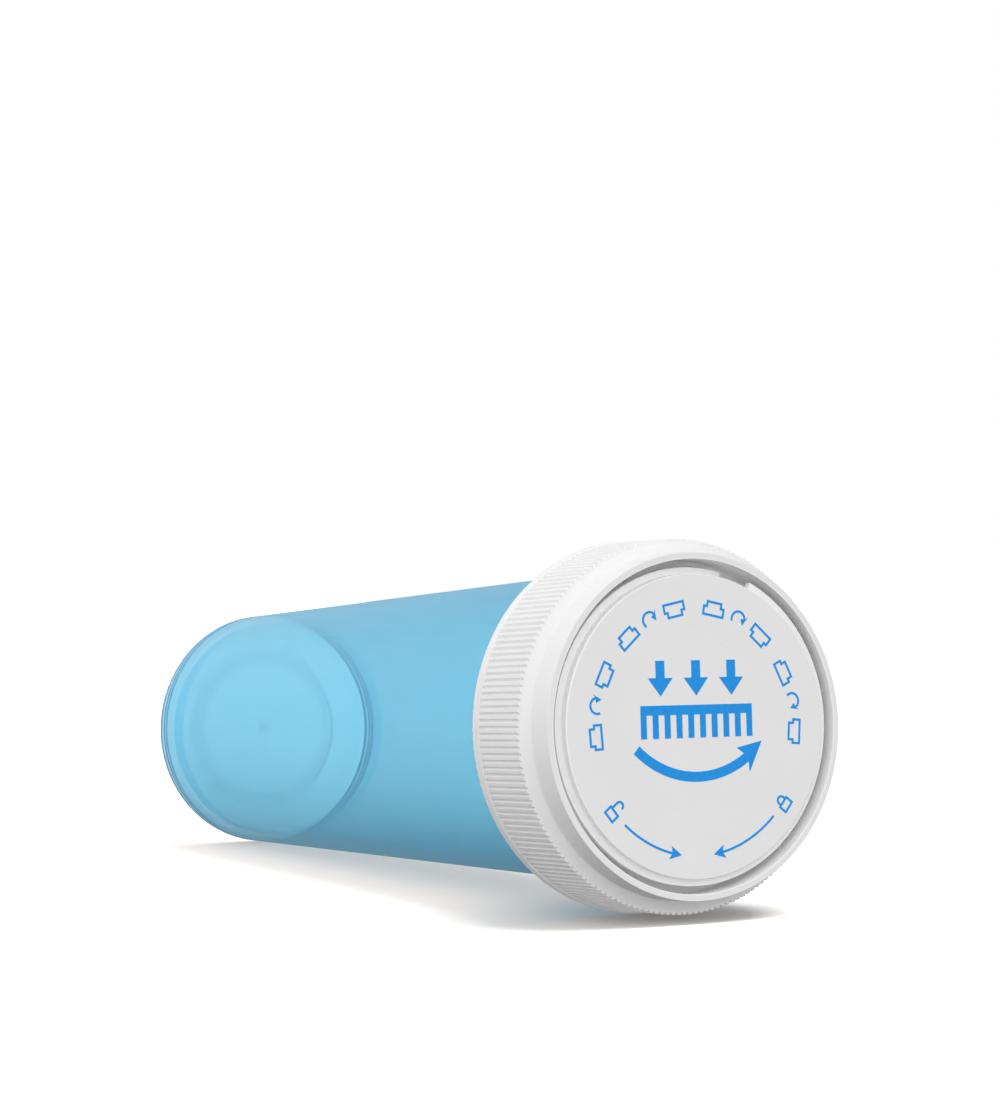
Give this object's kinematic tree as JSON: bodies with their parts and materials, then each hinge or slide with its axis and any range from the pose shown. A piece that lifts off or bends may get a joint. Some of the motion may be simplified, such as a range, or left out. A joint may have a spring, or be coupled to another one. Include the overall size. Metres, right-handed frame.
{
  "type": "prescription vial",
  "caption": "Round tapered medicine vial in translucent blue plastic, with a white ribbed child-resistant cap that can also be used upside down.",
  "frame": {"origin": "centre of the base, on the plane that the vial stands on", "axes": "+Z along the vial's axis from the base to the cap; +X through the middle of one bayonet entry gap"},
  "size_m": [0.038, 0.038, 0.1024],
  "materials": {
    "vial_blue": "translucent frosted",
    "cap_white": "fine grain satin",
    "disc_natural": "natural satin",
    "liner_foam": "matte foam",
    "print_blue": "flat printed ink"
  },
  "bodies": {
    "vial": {"vial_body": "vial_blue"},
    "seal": {"seal_liner": "liner_foam"},
    "spring": {"spring_disc": "disc_natural"},
    "cap": {"cap_shell": "cap_white"}
  },
  "joints": [
    {"name": "cap_lift", "type": "slide", "parent": "vial", "child": "seal", "axis": [0, 0, 1], "range_m": [0, 0.025]},
    {"name": "cap_turn", "type": "hinge", "parent": "seal", "child": "spring", "pos_m": [0, 0, 0.097], "axis": [0, 0, 1], "range_deg": [-40, 0]},
    {"name": "cap_press", "type": "slide", "parent": "spring", "child": "cap", "axis": [0, 0, 1], "range_m": [0, 0.001], "stiffness_N_per_m": 8000, "springref_m": 0.0013, "deforming": ["spring_disc"]}
  ]
}
